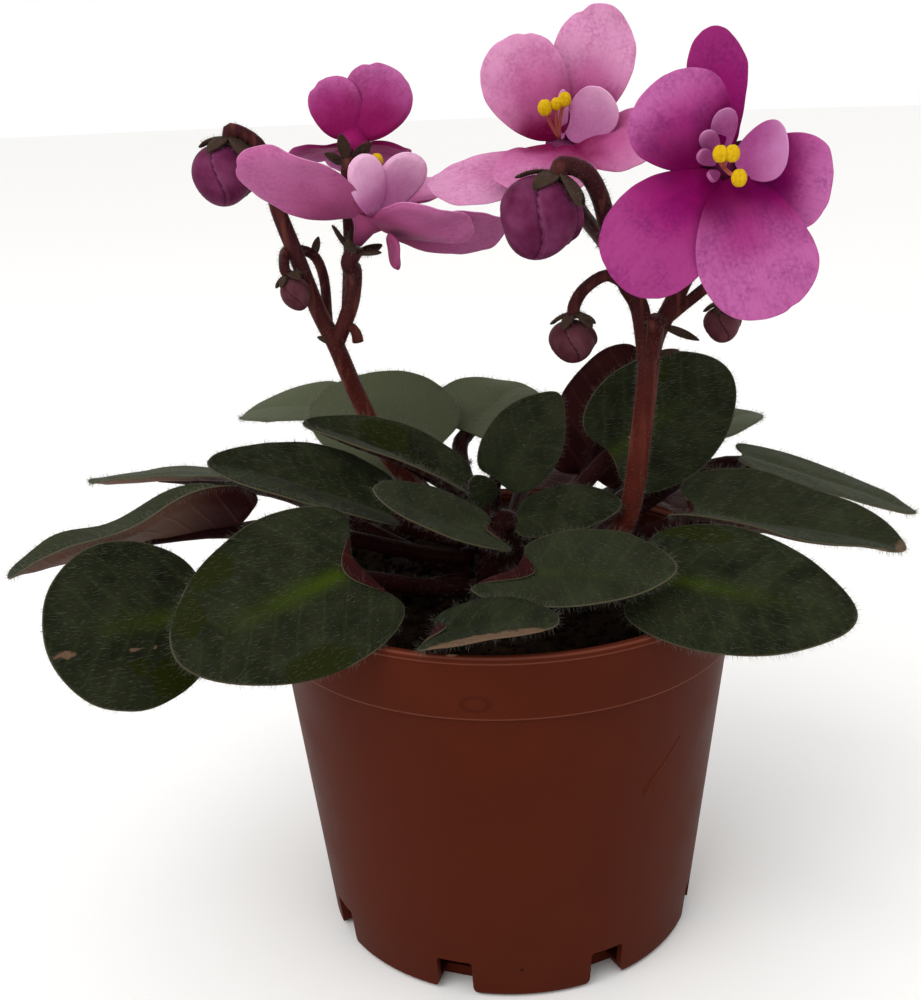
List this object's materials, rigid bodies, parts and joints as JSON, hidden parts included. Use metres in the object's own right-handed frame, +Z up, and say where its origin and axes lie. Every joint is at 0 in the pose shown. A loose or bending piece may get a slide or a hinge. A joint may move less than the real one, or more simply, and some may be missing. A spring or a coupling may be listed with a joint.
{
  "type": "potted african violet",
  "caption": "Miniature African violet in flower in its small tapered plastic nursery pot: a rosette of round hairy leaves under stalks of pink blooms and buds.",
  "frame": {"origin": "the middle of the flat underside of the pot, on the surface the pot stands on", "axes": "+Z up along the pot's axis; -Y towards the viewer of the picture; +X to the viewer's right"},
  "size_m": [0.1168, 0.0813, 0.119],
  "materials": {
    "pot": "satin terracotta-brown moulded plastic",
    "soil": "matte dark loose potting mix",
    "stem": "dark maroon stem, softly hairy",
    "leaf": "dark green, velvety with fine pale hairs",
    "petal": "magenta pink petal with a soft sheen",
    "anther": "matte yellow",
    "bud": "dark plum"
  },
  "bodies": {
    "root": {"pot": "pot", "soil": "soil", "crown": "stem", "leaf_front_left": "leaf", "leaf_far_left": "leaf", "leaf_left_edge": "leaf", "leaf_left_back": "leaf", "leaf_left_middle": "leaf", "leaf_left_upper": "leaf", "leaf_back_left": "leaf", "leaf_back_far_left": "leaf", "leaf_back": "leaf", "leaf_heart": "leaf", "leaf_right_round": "leaf", "leaf_right_upright": "leaf", "leaf_back_right": "leaf", "leaf_right_edge": "leaf", "leaf_right_long": "leaf", "leaf_front_right": "leaf", "leaf_front_middle": "leaf", "leaf_small_right": "leaf", "leaf_rim_curl": "leaf", "leaf_middle": "leaf", "leaf_tiny": "leaf", "leaf_behind_left": "leaf", "leaf_behind": "leaf", "leaf_behind_right": "leaf", "stalk_left": "stem", "stalk_right": "stem", "corolla_right": "petal", "anthers_right": "anther", "corolla_back": "petal", "anthers_back": "anther", "corolla_left": "petal", "anthers_left": "anther", "corolla_far": "petal", "anthers_far": "anther", "bud_far_left": "bud", "bud_large": "bud", "bud_middle": "bud", "bud_right": "bud", "bud_left": "bud"}
  },
  "joints": []
}
